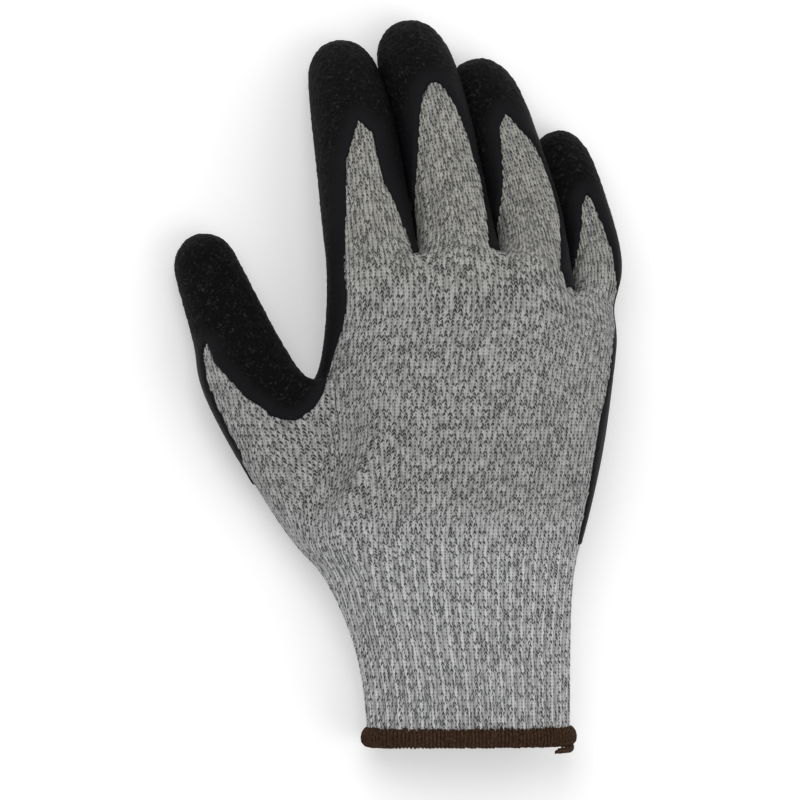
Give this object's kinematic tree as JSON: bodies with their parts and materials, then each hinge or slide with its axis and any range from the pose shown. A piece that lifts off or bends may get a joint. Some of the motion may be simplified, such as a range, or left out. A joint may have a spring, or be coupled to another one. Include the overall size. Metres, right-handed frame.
{
  "type": "latex coated grip glove",
  "caption": "Right-hand seamless knit work glove with a ribbed cuff and overlocked hem, its palm, fingertips and thumb dipped in crinkled black latex.",
  "frame": {"origin": "middle of the glove's footprint, on the surface it lies on", "axes": "+Y to the fingertips, +Z out of the back of the hand, +X to the little finger's side, thumb at -X"},
  "size_m": [0.151, 0.2452, 0.0498],
  "materials": {
    "knit": "melange knit of light grey and black yarn",
    "latex": "matte crinkled latex",
    "hem_yarn": "matte brown overlock yarn"
  },
  "bodies": {
    "root": {"knit_cuff": "knit", "knit_hand": "knit", "knit_thumb": "knit", "knit_index": "knit", "knit_middle": "knit", "knit_ring": "knit", "knit_little": "knit", "latex_hand": "latex", "latex_thumb": "latex", "latex_index": "latex", "latex_middle": "latex", "latex_ring": "latex", "latex_little": "latex", "hem_binding": "hem_yarn", "hem_thread_tail": "hem_yarn"}
  },
  "joints": []
}
